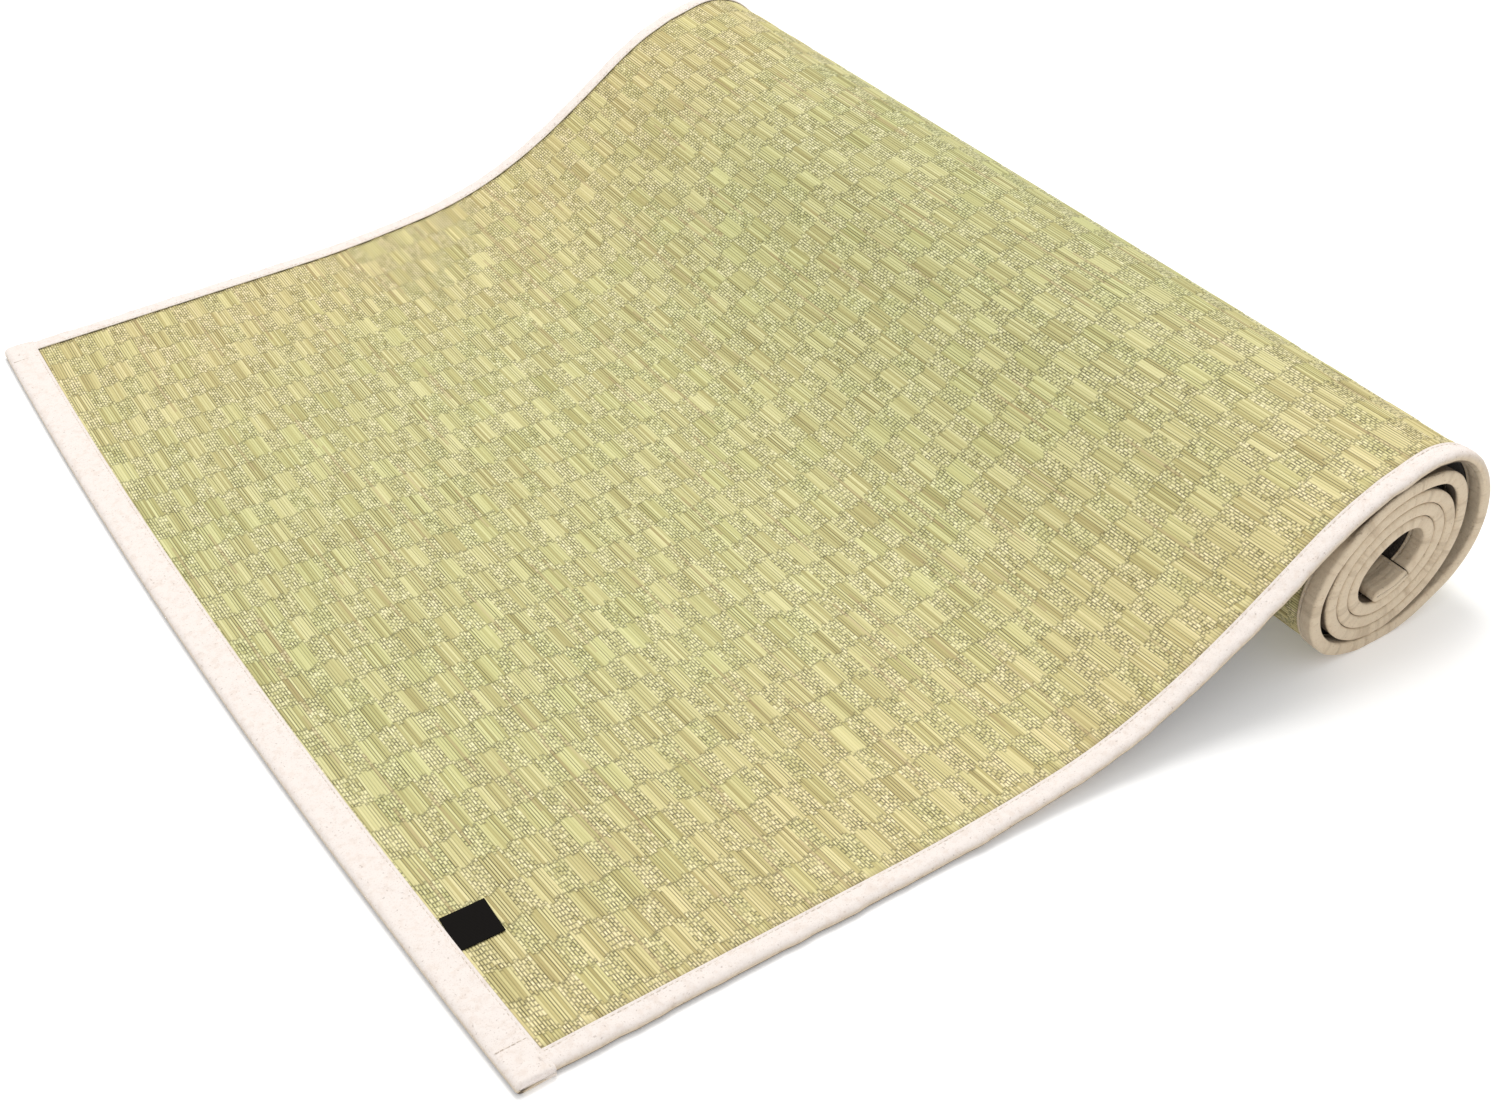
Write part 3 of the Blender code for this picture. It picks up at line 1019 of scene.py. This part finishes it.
@dataclass(frozen=True)
class Weave:
    half: float = 0.305
    block_across: float = 0.0188
    block_along: float = 0.0094188
    first_row: float = 0.02068
    first_block: float = -1.25
    middle: float = 2.12
    straws: int = 7
    ground: float = 1.86 * MM
    valley_drop: float = 0.16 * MM
    straw_rise: float = 0.22 * MM
    float_rise: float = 0.20 * MM
    plain_share: float = 0.45
    unevenness: float = 0.05 * MM
    unevenness_seed: int = 5
    edge_gap: float = 0.07
    narrowest: float = 0.2
    bow: Table = (
        # length along the mat (m), how far mid-width rows lie towards the flat end (m)
        (0.0, 0.0099),
        (0.49, 0.0041),
        (0.90, 0.0),
    )
    wander: float = 0.30 * MM
    wander_waves: Table = ((0.13, 0.5), (0.047, 0.3), (0.019, 0.2))
    wander_skew: float = 1.7
    wander_rows: float = 0.011
    wander_seed: int = 3

    def columns(self, reach: float) -> Array:
        """Places across: two at each block edge, and the sheet's own edges.

        Args:
            reach: half of the sheet's width, in metres.

        Returns:
            The places, in blocks.
        """
        low = self.middle - reach / self.block_across
        high = self.middle + reach / self.block_across
        edges = np.arange(math.ceil(low), math.floor(high) + 1) + 0.5
        edges = edges[(edges > low + self.narrowest) & (edges < high - self.narrowest)]
        pairs = np.stack([edges - self.edge_gap, edges + self.edge_gap], axis=1).ravel()
        return np.concatenate([[low], pairs, [high]])

    def rows(self, fine_to: float, end: float) -> Array:
        """Places along: two to a straw as far as straws show, then two to a block.

        Args:
            fine_to: length along the mat to which straws show.
            end: length along the mat at the sheet's end.

        Returns:
            The places, in blocks.
        """
        per_block = 2 * self.straws
        first = math.ceil((self.first_block + 0.5) * per_block)
        last = int((self.block(fine_to) + 0.5) * per_block)
        near = np.arange(first, last + 1) / per_block - 0.5
        far = np.arange(near[-1] + 0.5, self.block(end) - self.narrowest, 0.5)
        return np.concatenate([near, far, [self.block(end)]])

    def block(self, length: float) -> float:
        """Length along the mat in blocks, at the long edges."""
        return (length - self.first_row) / self.block_along

    def lengths(self, rows: Array, across: Array) -> Array:
        """Bow and drift the rows.

        Args:
            rows: places along, in blocks.
            across: places across, in metres.

        Returns:
            Length along the mat of each row at each place across.
        """
        straight = rows * self.block_along + self.first_row
        places, shifts = np.array(self.bow).T
        bowed = straight - np.interp(straight, places, shifts) * (1 - (across / self.half) ** 2)
        drift = ripple(across + self.wander_skew * straight, self.wander_waves, self.wander_seed)
        return bowed + self.wander * drift * np.cos(straight / self.wander_rows)

    def heights(self, rows: Array, columns: Array) -> Array:
        """Raise the floats and the straws.

        Args:
            rows: places along, in blocks.
            columns: places across, in blocks.

        Returns:
            Height above mid-thickness at each row and column.
        """
        straw_place = (rows + 0.5) * self.straws
        crest = np.abs(straw_place - np.floor(straw_place) - 0.5) < 0.25
        floats = (np.floor(rows + 0.5 + TINY) + np.floor(columns + 0.5)) % 2
        dice = np.random.default_rng(self.unevenness_seed)
        draws = dice.uniform(-1, 1, (rows.shape[0], columns.shape[1]))
        rise = np.where(crest, self.straw_rise, -self.valley_drop)
        plain = rise * self.plain_share + draws * self.unevenness
        return self.ground + np.where(floats > 0.5, rise + self.float_rise, plain)


@dataclass
class RushFace:
    """The woven rush sheet."""

    line: MatLine
    weave: Weave
    bottom: float = 0.4 * MM
    shown_to: float = 0.74
    inset: float = 1.1 * MM

    def build(self) -> Piece:
        """Weave the sheet: straws as ridges, floats standing proud in a checker.

        Returns:
            The sheet.
        """
        weave, line = self.weave, self.line
        columns = weave.columns(line.body_half)[None, :]
        rows = weave.rows(self.shown_to, line.end - self.inset)[:, None]
        across = (weave.middle - columns) * weave.block_across
        lengths = weave.lengths(rows, across)
        edges = [-1, 0]
        top = line.place(lengths, across, weave.heights(rows, columns))
        under = line.place(lengths[:, edges], across[:, edges], np.full((1, 2), self.bottom))
        rings = np.concatenate([top, under], axis=1)
        piece = loft("rush_sheet", rings, np.concatenate([columns, columns[:, edges]], axis=1), rows)
        finish = RushFinish(straws=float(weave.straws), middle=weave.middle)
        finish_piece(piece, finish.material(), "rush", "rush_face")
        return piece


@dataclass
class Underlay:
    """The dark sheet under the rush, thinner under every lap of binding."""

    line: MatLine
    top: float = 0.1 * MM
    full: float = 3.1 * MM
    under_lap: float = 2.0 * MM
    side_lap: float = 9.5 * MM
    end_lap: float = 17 * MM
    core_lap: float = 21 * MM
    core_steps: int = 15
    step: float = 3 * MM
    slope: float = 1.5 * MM
    inset: float = 1.1 * MM
    bowed_to: float = 0.15

    def profile(self) -> Array:
        """Lay out the sheet's section.

        Returns:
            Rows of a place across and a level: 0 under the lap, 1 full, 2 the top.
        """
        edge = self.line.body_half
        lap = self.line.half - self.side_lap - self.line.clearance
        near, full = lap - self.slope / 3, lap - self.slope
        right = [(edge, 2.0), (edge, 0.0), (lap, 0.0), (near, 0.9), (full, 1.0)]
        left = [(-x, level) for x, level in right[::-1]]
        return np.array([left[-1], (0.0, 2.0), *right, (0.0, 1.0), *left[:-1]])

    def stations(self) -> Array:
        """Choose where the sheet has a ring, denser round the laps.

        Returns:
            Lengths along the mat.
        """
        end, clearance = self.line.end - self.inset, self.line.clearance
        core = end - self.core_lap
        first = [self.inset, self.end_lap, self.end_lap + clearance, self.end_lap + self.slope]
        run = np.arange(first[-1] + self.step, core - self.step, self.step)
        return np.concatenate([first, run, [core - self.slope], np.linspace(core, end, self.core_steps)])

    def build(self) -> Piece:
        """Lay the underlay along the whole mat.

        Returns:
            The sheet.
        """
        line = self.line
        across, level = self.profile().T[:, None, :]
        along = self.stations()[:, None]
        before_core = line.end - self.inset - self.core_lap - TINY
        lapped = (along < self.end_lap + line.clearance / 2) | (along > before_core)
        thicker = (self.full - self.under_lap) * np.minimum(level, 1.0)
        depth = self.under_lap + np.where(lapped, 0.0, thicker)
        height = np.where(level > 1.5, self.top, -depth)
        bowed = along + line.bow(across) * np.clip(1 - along / self.bowed_to, 0, 1)
        piece = loft("underlay_sheet", line.place(bowed, across, height), across, along)
        finish_piece(piece, UnderlayFinish().material(), "underlay", "backing")
        return piece


@dataclass(frozen=True)
class FoldedStrip:
    """Section of a strip of cloth folded over an edge, seen along the edge."""

    lap: float
    cloth: float = 0.8 * MM
    hollow: float = 2.22 * MM
    crown: float = 3.22 * MM
    base: float = 3.1 * MM
    shoulder: float = 3.2 * MM
    squareness: float = 2.3
    groove_in: float = 1.5 * MM
    groove_depth: float = 0.42 * MM
    groove_width: float = 0.5 * MM
    lip_lift: float = 0.33 * MM
    lip_edges: Pair = (0.08 * MM, -0.10 * MM)
    fold_start: float = 0.02 * MM
    inside_share: float = 0.6
    inside_places: Pair = (2.2 * MM, 1.1 * MM)
    inside_fold: float = 0.75
    settle_from: float = 0.35
    settle_run: float = 0.6
    fold_places: tuple[float, ...] = (0.03, 0.25, 0.65, 1.15, 1.8, 2.6, 3.6)  # in mm, from the edge
    lip_places: tuple[float, ...] = (-0.75, -0.35, 0.0, 0.35, 0.75, 1.15)  # in mm, from the groove
    step: float = 1.6 * MM
    lip_room: float = 1.0 * MM
    puff_reach: float = 1.02
    puff_power: float = 0.8
    puff_under: float = 0.35

    @property
    def groove(self) -> float:
        """Distance of the stitch line from the edge."""
        return self.lap - self.groove_in

    def places(self) -> Array:
        """Choose where the section has a point on each face.

        Returns:
            Distances from the edge, from the fold to the lip.
        """
        near = np.array(self.fold_places) * MM
        wide = np.arange(near[-1] + self.step, self.groove - self.lip_room, self.step)
        return np.concatenate([near, wide, self.groove + np.array(self.lip_places) * MM])

    def height(self, places: Array, top: float) -> Array:
        """Round the cloth over its edge and settle it at its stitch line.

        Args:
            places: distances from the edge.
            top: height of the crown.

        Returns:
            Height of the cloth's outside above mid-thickness.
        """
        reach = np.clip((places + self.fold_start) / self.shoulder, 0, 1)
        round_over = (1 - (1 - reach) ** self.squareness) ** (1 / self.squareness)
        settled = ramp_up(places, self.settle_from * self.lap, self.settle_run * self.lap)
        groove = self.groove_depth * np.exp(-(((places - self.groove) / self.groove_width) ** 2))
        return top * round_over - (top - self.hollow - self.cloth) * settled - groove

    def ring(self) -> tuple[Array, Array, Array]:
        """The section as a closed ring.

        Returns:
            Distance from the edge, height, and how freely each point may puff out.
        """
        places = self.places()
        top = self.height(places, self.crown)
        low = np.minimum(self.height(places, self.base), self.base)
        share = np.clip(places / (self.lap * self.puff_reach), 0, 1)
        free = np.sin(math.pi * share) ** self.puff_power
        lip = self.lap + np.array(self.lip_edges)
        rest = np.array([*lip, self.inside_share * self.lap, *self.inside_places])
        hollow = np.full(len(rest), self.hollow)
        hollow[0] += self.lip_lift
        hollow[-1] *= self.inside_fold
        distance = np.concatenate([rest[::-1], places[::-1], places, rest])
        height = np.concatenate([hollow[::-1], top[::-1], -low, -hollow])
        quiet = np.zeros(len(rest))
        puff = np.concatenate([quiet, free[::-1], self.puff_under * free, quiet])
        return distance, height, puff


@dataclass(frozen=True)
class SoilAndShade:
    """Where the binding cloth is tan or dark: tan underneath and on its fold where wound, part soil and
    part painted shade, with a painted contact shadow along its lowest edge and painted shade in the gaps
    between turns.

    A ramp is where it starts and how far it runs, and a fade is its value at the edge and the
    distance over which it loses 1.
    """

    under: Pair = (-2.8 * MM, 3.9 * MM)
    under_fade: Pair = (1.1, 14 * MM)
    under_least: float = 0.35
    # painted contact shadow along the lowest edge: where it starts and how far it runs, and its fade
    lowest: Pair = (0.2 * MM, 1.3 * MM)
    lowest_fade: Pair = (1.8, 2.2 * MM)
    gap: Pair = (0.9 * MM, 1.6 * MM)
    fold_fade: Pair = (1.35, 3.0 * MM)
    gap_shares: Triple = (0.3, 1.0, 0.25)  # round the outer loop, inside it, on the innermost turn

    def shade(self, height: Array, distance: Array, wound: Array, inner: Array) -> Array:
        """Work out how brown the cloth looks, from soil and painted shade.

        Args:
            height: above mid-thickness.
            distance: from the folded edge.
            wound: 0 where the mat lies open, 1 where it is wound.
            inner: 0 to 1 round the outer loop, 2 on the turns inside it, 3 on the innermost.

        Returns:
            0 for cream, 1 for tan and 2 for the painted shade of a gap.
        """
        # tan on the lower side of the fold: part soil, part painted shade
        under = ramp_up(-height, *self.under) * fade_out(distance, *self.under_fade, self.under_least)
        # painted contact shadow: a dark line along the lowest part of the edge
        lowest = ramp_up(-height, *self.lowest) * fade_out(distance, *self.lowest_fade)
        # painted shade in the gaps between the wound turns
        gap = ramp_up(distance, *self.gap)
        # tan on the wound fold near its edge, and all over from the outer loop's shaded side inward: part
        # soil, part painted shade
        round_loop = fade_out(distance, *self.fold_fade) * (1 - inner) + inner
        above = np.where(inner < 1, round_loop, 1 + gap * np.clip(inner - 1, 0, 1))
        loop, turns, innermost = self.gap_shares
        below = 1 + gap * np.where(inner < 1, loop, np.where(inner < 2.5, turns, innermost))
        fold = np.where(height < 0, below, above)
        return np.maximum(under, 2 * lowest) * (1 - wound) + fold * wound


@dataclass
class Binding:
    """A strip of cloth folded over one of the mat's edges."""

    line: MatLine
    name: str
    node: str
    strip: FoldedStrip
    soil_and_shade: SoilAndShade

    @property
    def flat(self) -> Pair:
        """Width and length of the strip before it is folded."""
        raise NotImplementedError

    def puffed(self, height: Array, along: Array, puff: Array, waves: Table, seed: int) -> Array:
        """How far the strip's small puckers lift it.

        Args:
            height: above mid-thickness.
            along: place along the strip.
            puff: how freely each point may puff out.
            waves: the puckers' wavelengths and heights.
            seed: picks their phases.

        Returns:
            The lift, outwards on both faces.
        """
        return ripple(along, waves, seed) * puff * np.sign(height)

    def dress(self, piece: Piece, material: Material, seam: Piece) -> None:
        """Args:
            piece: the strip.
            material: the binding cloth.
            seam: its stitches; not used.
        """
        finish_piece(piece, material, "binding", self.node)


@dataclass
class SideBinding(Binding):
    """Folded strip along one long edge, soft and a little puckered."""

    side: Side
    squeezed: FoldedStrip
    wound_from: float = 0.50
    wound_run: float = 0.06
    turns: Table = (
        # length along the mat (m), 0 to 1 round the outer loop, 2 inside it, 3 innermost
        (0.585, 0.0),
        (0.625, 0.999),
        (0.735, 0.999),
        (0.755, 2.0),
        (1.300, 2.0),
        (1.302, 3.0),
    )
    start: float = 20 * MM
    core_lap: float = 21 * MM
    step: float = 1.2 * MM
    inset: float = 0.25 * MM
    most_inward: float = 0.12 * MM
    held_when_wound: float = 0.75
    seed: int = 20
    puckers: Table = (
        # wavelength (m), height (m)
        (0.061, 0.14 * MM),
        (0.023, 0.14 * MM),
        (0.0093, 0.11 * MM),
        (0.0051, 0.07 * MM),
    )
    pucker_skew: float = 0.6
    sway: Table = (
        # wavelength (m), how far the edge wanders (m)
        (0.083, 0.30 * MM),
        (0.031, 0.22 * MM),
        (0.013, 0.11 * MM),
    )

    @property
    def flat(self) -> Pair:
        """Two laps, the edge and two narrow hems wide, between the end bindings."""
        width = 2 * self.strip.lap + 1.5 * self.line.thickness
        return (width, self.line.end - self.start - self.core_lap)

    def build(self) -> Piece:
        """Fold the strip round the edge from the end binding to the core's.

        Returns:
            The strip, undressed.
        """
        line = self.line
        distance, soft, puff = (part[None, :] for part in self.strip.ring())
        square = self.squeezed.ring()[1][None, :]
        along = np.arange(self.start, line.end - self.core_lap, self.step)[:, None]
        wound = ramp_up(along, self.wound_from, self.wound_run)
        inner = np.interp(along, *np.array(self.turns).T)
        height = soft + (square - soft) * wound
        seed = self.seed + self.side.value
        free = 1 - self.held_when_wound * wound
        where = along + self.pucker_skew * distance
        lift = self.puffed(height, where, puff, self.puckers, seed) * free
        wander = np.maximum(ripple(along, self.sway, seed + 7), -self.most_inward)
        wander = wander * np.clip(1 - distance / self.strip.lap, 0, 1)
        across = self.side.value * (line.half - distance + wander * free - self.inset)
        rings = line.place(along, across, np.clip(height + lift, -line.half_edge, None))
        return loft(self.name, rings, self.soil_and_shade.shade(height, distance, wound, inner), along)


@dataclass
class EndBinding(Binding):
    """Folded strip along one short end, its own ends closed over the corners."""

    end: End
    step: float = 1.5 * MM
    overhang: float = 0.9 * MM
    square: float = 17 * MM
    body_gap: float = 0.15 * MM
    corner: tuple[float, ...] = (0.35, 0.75, 0.93, 1.0)
    closing: float = 0.97
    shut: float = 0.03
    least_height: float = 0.35
    corner_pull: float = 1.2 * MM
    lump: float = 0.35 * MM
    lump_run: float = 3 * MM
    core_puckers: float = 0.3
    seed: int = 31
    puckers: Table = (
        # wavelength (m), height (m)
        (0.047, 0.16 * MM),
        (0.019, 0.12 * MM),
        (0.0087, 0.08 * MM),
        (0.0049, 0.04 * MM),
    )
    pucker_skew: float = 0.9

    @property
    def reach(self) -> float:
        """Half of the strip's length."""
        return self.line.half + (self.overhang if self.end is End.FLAT else 0.0)

    @property
    def flat(self) -> Pair:
        """Two laps, the edge and two narrow hems wide, and as long as the mat is wide."""
        return (2 * self.strip.lap + 2 * self.line.thickness, 2 * self.reach)

    def lengths(self, distance: Array, across: Array) -> Array:
        """Turn distances from the mat's end into lengths along it.

        Args:
            distance: in from the end.
            across: place across.

        Returns:
            Length along the mat.
        """
        if self.end is End.FLAT:
            return self.line.bow(np.clip(across, -self.line.half, self.line.half)) + distance
        return self.line.end - distance

    def stations(self, inside: float) -> Array:
        """Choose where the strip has a ring, denser over the corners.

        Args:
            inside: half of the run between the corners.

        Returns:
            Places across.
        """
        count = len(np.arange(-inside, inside + self.step / 2, self.step))
        outer = inside + (self.reach - inside) * np.array(self.corner)
        return np.concatenate([-outer[::-1], np.linspace(-inside, inside, count), outer])

    def build(self) -> Piece:
        """Fold the strip round the end and close it over the corners.

        Returns:
            The strip, undressed.
        """
        flat = self.end is End.FLAT
        distance, height, puff = (part[None, :] for part in self.strip.ring())
        inside = self.line.body_half + self.body_gap
        across = self.stations(inside)[:, None]
        off_middle = np.abs(across)
        past = ramp_up(off_middle, inside, self.reach - inside)
        is_inner = (puff == 0) & (np.abs(height) <= self.strip.hollow + 1e-9)
        shrink = np.sqrt(np.clip(1 - (past * self.closing) ** 3, 0, 1))
        where = across + self.pucker_skew * distance
        lift = self.puffed(height, where, puff, self.puckers, self.seed)
        lump = ramp_up(off_middle, self.line.half - self.square, self.lump_run) * puff * (height > 0)
        lift = lift + self.lump * lump if flat else lift * self.core_puckers
        outside = (height + lift) * (self.least_height + (1 - self.least_height) * shrink)
        full = np.where(is_inner, height * np.where(past > 0, self.shut, 1.0), outside)
        fold = np.clip(1 - distance / self.strip.lap, 0, 1)
        pulled = distance + (1 - shrink) * self.corner_pull * fold
        high = np.clip(full, -self.line.half_edge, None)
        rings = self.line.place(self.lengths(pulled, across), across, high)
        open_flat = np.zeros(1)
        soiled_and_shaded = self.soil_and_shade.shade(height, distance, open_flat, open_flat)
        # the core end binding, inside the roll, is tan all over: part soil, part painted shade
        tint = soiled_and_shaded if flat else np.ones_like(height)
        return loft(self.name, rings, tint, across)


@dataclass(frozen=True)
class Stitches:
    """One seam of plain machine stitches, joined in one piece."""

    line: MatLine
    pitch: float = 2.9 * MM
    length: float = 2.15 * MM
    width: float = 0.42 * MM
    proud: float = 0.22 * MM
    above: float = 0.02 * MM
    cross_above: float = 0.10 * MM
    cross_pitch: float = 0.8
    side_margins: Pair = (1.5 * MM, 1 * MM)
    end_margins: Pair = (3 * MM, 2 * MM)
    cross_margins: Pair = (2.5 * MM, 1 * MM)
    side_inset: float = 0.25 * MM

    def template(self) -> tuple[Array, list[list[int]]]:
        """One stitch: a small spindle that dives in at both ends.

        Returns:
            Its points, along, across and up, and its faces.
        """
        bpy.ops.object.select_all(action="DESELECT")
        bpy.ops.mesh.primitive_uv_sphere_add(segments=6, ring_count=5, radius=1.0)
        made = bpy.context.object
        mesh = made.data
        mesh.transform(Matrix.Rotation(math.radians(90), 4, "Y"))
        points = np.array([v.co for v in mesh.vertices]) * (self.length / 2, self.width / 2, self.proud)
        faces = [list(f.vertices) for f in mesh.polygons]
        bpy.data.objects.remove(made)
        bpy.data.meshes.remove(mesh)
        return points, faces

    def build(self, name: str, places: Array, headings: Array) -> Piece:
        """Sew one stitch at each place.

        Args:
            name: the seam's name.
            places: length, across and height of each stitch.
            headings: each stitch's run along the mat and across it.

        Returns:
            The seam.
        """
        points, faces = self.template()
        a, b, c = points.T[:, None, :]
        run, side = headings.T[:, :, None]
        length, across, height = places.T[:, :, None]
        solid = self.line.place(length + a * run - b * side, across + a * side + b * run, height + c)
        joined = [[n + k * len(points) for n in f] for k in range(len(places)) for f in faces]
        return link_mesh(name, solid, joined)

    def seam(self, strip: FoldedStrip, lengths: Array, across: Array) -> Array:
        """Places of one row of stitches on the rush side and one underneath.

        Args:
            strip: the binding's section.
            lengths: each stitch's length along the mat.
            across: each stitch's place across.

        Returns:
            Length, across and height of each stitch.
        """
        rows = []
        for face, top in ((Face.RUSH, strip.crown), (Face.UNDER, strip.base)):
            high = float(strip.height(np.array([strip.groove]), top)[0]) + self.above
            if face is Face.UNDER:
                high = min(high, strip.base - self.proud - self.above)
            rows.append(np.stack(np.broadcast_arrays(lengths, across, face.value * high), axis=1))
        return np.vstack(rows)

    def along_side(self, binding: SideBinding) -> Piece:
        """Sew a side binding, on the rush side and underneath.

        Args:
            binding: the side binding.

        Returns:
            The seam.
        """
        first, last = self.side_margins
        end = self.line.end - binding.core_lap
        stops = np.arange(binding.start + first, end - last, self.pitch)
        across = binding.side.value * (self.line.half - binding.strip.groove - self.side_inset)
        places = self.seam(binding.strip, stops, across)
        return self.build(binding.name + "_seam", places, np.tile([1.0, 0.0], (len(places), 1)))

    def along_end(self, binding: EndBinding) -> Piece:
        """Sew an end binding, with the short cross seams near its corners.

        Args:
            binding: the end binding.

        Returns:
            The seam.
        """
        strip = binding.strip
        first, last = self.end_margins
        stops = np.arange(first - binding.reach, binding.reach - last, self.pitch)
        places = [self.seam(strip, binding.lengths(np.full_like(stops, strip.groove), stops), stops)]
        headings = [np.tile([0.0, 1.0], (len(places[0]), 1))]
        if binding.end is End.FLAT:
            first, last = self.cross_margins
            inward = np.arange(first, strip.groove - last, self.pitch * self.cross_pitch)
            high = strip.height(inward, strip.crown) + self.cross_above
            for side in Side:
                across = np.full_like(inward, side.value * (self.line.half - binding.square))
                places.append(np.stack([binding.lengths(inward, across), across, high], axis=1))
                headings.append(np.tile([1.0, 0.0], (len(inward), 1)))
        return self.build(binding.name + "_seam", np.vstack(places), np.vstack(headings))


@dataclass
class LabelTab:
    """The small bare tab sewn in under the flat end's lip."""

    line: MatLine
    width: float = 20 * MM
    length: float = 19 * MM
    tuck: float = 1.2 * MM
    thickness: float = 0.45 * MM
    across: float = -0.2255
    turn: float = -2.0
    end_lap: float = 17 * MM
    lip_gap: float = 1.2 * MM
    level: float = 2.35 * MM
    curl: float = 0.35 * MM
    curl_in_middle: float = 0.4
    bevel: float = 0.12 * MM
    cells: int = 12

    def build(self) -> Piece:
        """Model the tab from a grid: a slight curl, a thickness and rounded edges.

        Returns:
            The tab.
        """
        bpy.ops.object.select_all(action="DESELECT")
        bpy.ops.mesh.primitive_grid_add(x_subdivisions=self.cells, y_subdivisions=self.cells, size=1.0)
        piece = bpy.context.object
        piece.name = "bare_tab"
        start = float(self.line.bow(np.array([self.across]))[0]) + self.end_lap + self.lip_gap
        turn = math.radians(self.turn)
        for vertex in piece.data.vertices:
            a = (vertex.co.x + 0.5) * (self.length + self.tuck) - self.tuck
            b = vertex.co.y * self.width
            outwards = self.curl_in_middle + abs(b) / self.width
            curl = self.curl * (max(a, 0.0) / self.length) ** 2 * outwards
            where = self.line.place(
                np.array(start + a * math.cos(turn) - b * math.sin(turn)),
                np.array(self.across + a * math.sin(turn) + b * math.cos(turn)),
                np.array(self.level + curl),
            )
            vertex.co = Vector(where.tolist())
        self.thicken(piece)
        finish_piece(piece, TabFinish().material(), "tab", "label_tab")
        return piece

    def thicken(self, piece: Piece) -> None:
        """Give the tab its thickness and softened edges.

        Args:
            piece: the flat tab.
        """
        bpy.context.view_layer.objects.active = piece
        thick = piece.modifiers.new("thickness", "SOLIDIFY")
        thick.thickness = self.thickness
        thick.offset = 1.0
        bpy.ops.object.modifier_apply(modifier=thick.name)
        edge = piece.modifiers.new("edges", "BEVEL")
        edge.width = self.bevel
        edge.segments = 2
        bpy.ops.object.modifier_apply(modifier=edge.name)
        piece.data.shade_smooth()


@dataclass(frozen=True)
class Lamp:
    """A soft square light aimed at the mat, its power in watts."""

    name: str
    place: Triple
    size: float
    power: float
    colour: Colour

    def hang(self) -> None:
        """Add the light to the scene."""
        lamp = bpy.data.lights.new(self.name, "AREA")
        lamp.size = self.size
        lamp.energy = self.power
        lamp.color = self.colour
        made = bpy.data.objects.new(self.name, lamp)
        made.location = self.place
        made.rotation_euler = (-Vector(self.place)).to_track_quat("-Z", "Y").to_euler()
        bpy.context.scene.collection.objects.link(made)


@dataclass(frozen=True)
class Studio:
    """Plain pale floor, soft light and the camera at the photograph's angle."""

    heading: float = 32.216
    pitch: float = 38.446
    roll: float = -1.709
    camera_at: Triple = (-0.4264, -0.7567, 0.6323)
    lens: float = 49.55
    sensor: float = 36.0
    nearest: float = 0.01
    floor_size: float = 8.0
    lamps: tuple[Lamp, ...] = (
        Lamp("key", (0.34, 0.50, 2.4), 1.1, 33.0, (1.0, 0.99, 0.97)),
        Lamp("fill", (-0.4, -0.6, 2.6), 3.0, 13.0, (0.98, 0.99, 1.0)),
    )
    world: float = 0.64

    def build(self) -> None:
        """Set up the floor, the lights, the world and the camera."""
        self.add_floor()
        for lamp in self.lamps:
            lamp.hang()
        world = bpy.data.worlds.new("studio")
        world.use_nodes = True
        background = world.node_tree.nodes["Background"]
        background.inputs["Color"].default_value = (1.0, 1.0, 1.0, 1.0)
        background.inputs["Strength"].default_value = self.world
        bpy.context.scene.world = world
        bpy.context.scene.view_settings.view_transform = "Standard"
        self.add_camera()

    def add_floor(self) -> None:
        """A large plane at the height on which the mat rests."""
        bpy.ops.object.select_all(action="DESELECT")
        bpy.ops.mesh.primitive_plane_add(size=self.floor_size, location=(0.0, 0.0, 0.0))
        floor = bpy.context.object
        floor.name = "floor"
        floor.data.materials.append(FloorFinish().material())

    def add_camera(self) -> None:
        """Add the camera, turned as in the photograph."""
        heading, pitch, roll = (math.radians(a) for a in (self.heading, self.pitch, self.roll))
        level = math.cos(pitch)
        ahead = Vector((math.sin(heading) * level, math.cos(heading) * level, -math.sin(pitch)))
        right = Vector((math.cos(heading), -math.sin(heading), 0.0))
        up = right.cross(ahead)
        tilted = math.cos(roll) * right + math.sin(roll) * up
        over = -math.sin(roll) * right + math.cos(roll) * up
        data = bpy.data.cameras.new("camera")
        data.lens = self.lens
        data.sensor_fit = "HORIZONTAL"
        data.sensor_width = self.sensor
        data.clip_start = self.nearest
        camera = bpy.data.objects.new("camera", data)
        turn = Matrix((tilted, over, -ahead)).transposed()
        camera.matrix_world = Matrix.Translation(self.camera_at) @ turn.to_4x4()
        bpy.context.scene.collection.objects.link(camera)
        bpy.context.scene.camera = camera


def main() -> None:
    """Build the studio and the mat, outside pieces last."""
    logging.basicConfig(level=logging.INFO, format="%(name)s: %(message)s")
    Studio().build()
    line = MatLine()
    cloth = ClothFinish().material()
    thread = ThreadFinish().material()
    stitches = Stitches(line)

    Underlay(line).build()
    RushFace(line, Weave()).build()
    side_lap, end_lap, core_lap = (FoldedStrip(lap=lap * MM) for lap in (9.5, 17, 21))
    squeezed = FoldedStrip(lap=side_lap.lap, shoulder=1.3 * MM, crown=3.25 * MM)
    soil_and_shade = SoilAndShade()
    bindings = (
        SideBinding(line, "edge_binding_near", "side_binding_near", side_lap, soil_and_shade, Side.NEAR, squeezed),
        SideBinding(line, "edge_binding_far", "side_binding_far", side_lap, soil_and_shade, Side.FAR, squeezed),
        EndBinding(line, "flat_end_binding", "end_binding_outer", end_lap, soil_and_shade, End.FLAT),
        EndBinding(line, "core_end_binding", "end_binding_core", core_lap, soil_and_shade, End.CORE),
    )
    for binding in bindings:
        strip = binding.build()
        sew = stitches.along_side if isinstance(binding, SideBinding) else stitches.along_end
        seam = sew(binding)
        finish_piece(seam, thread, "binding")
        binding.dress(strip, cloth, seam)
    LabelTab(line).build()


if __name__ == "__main__":
    main()
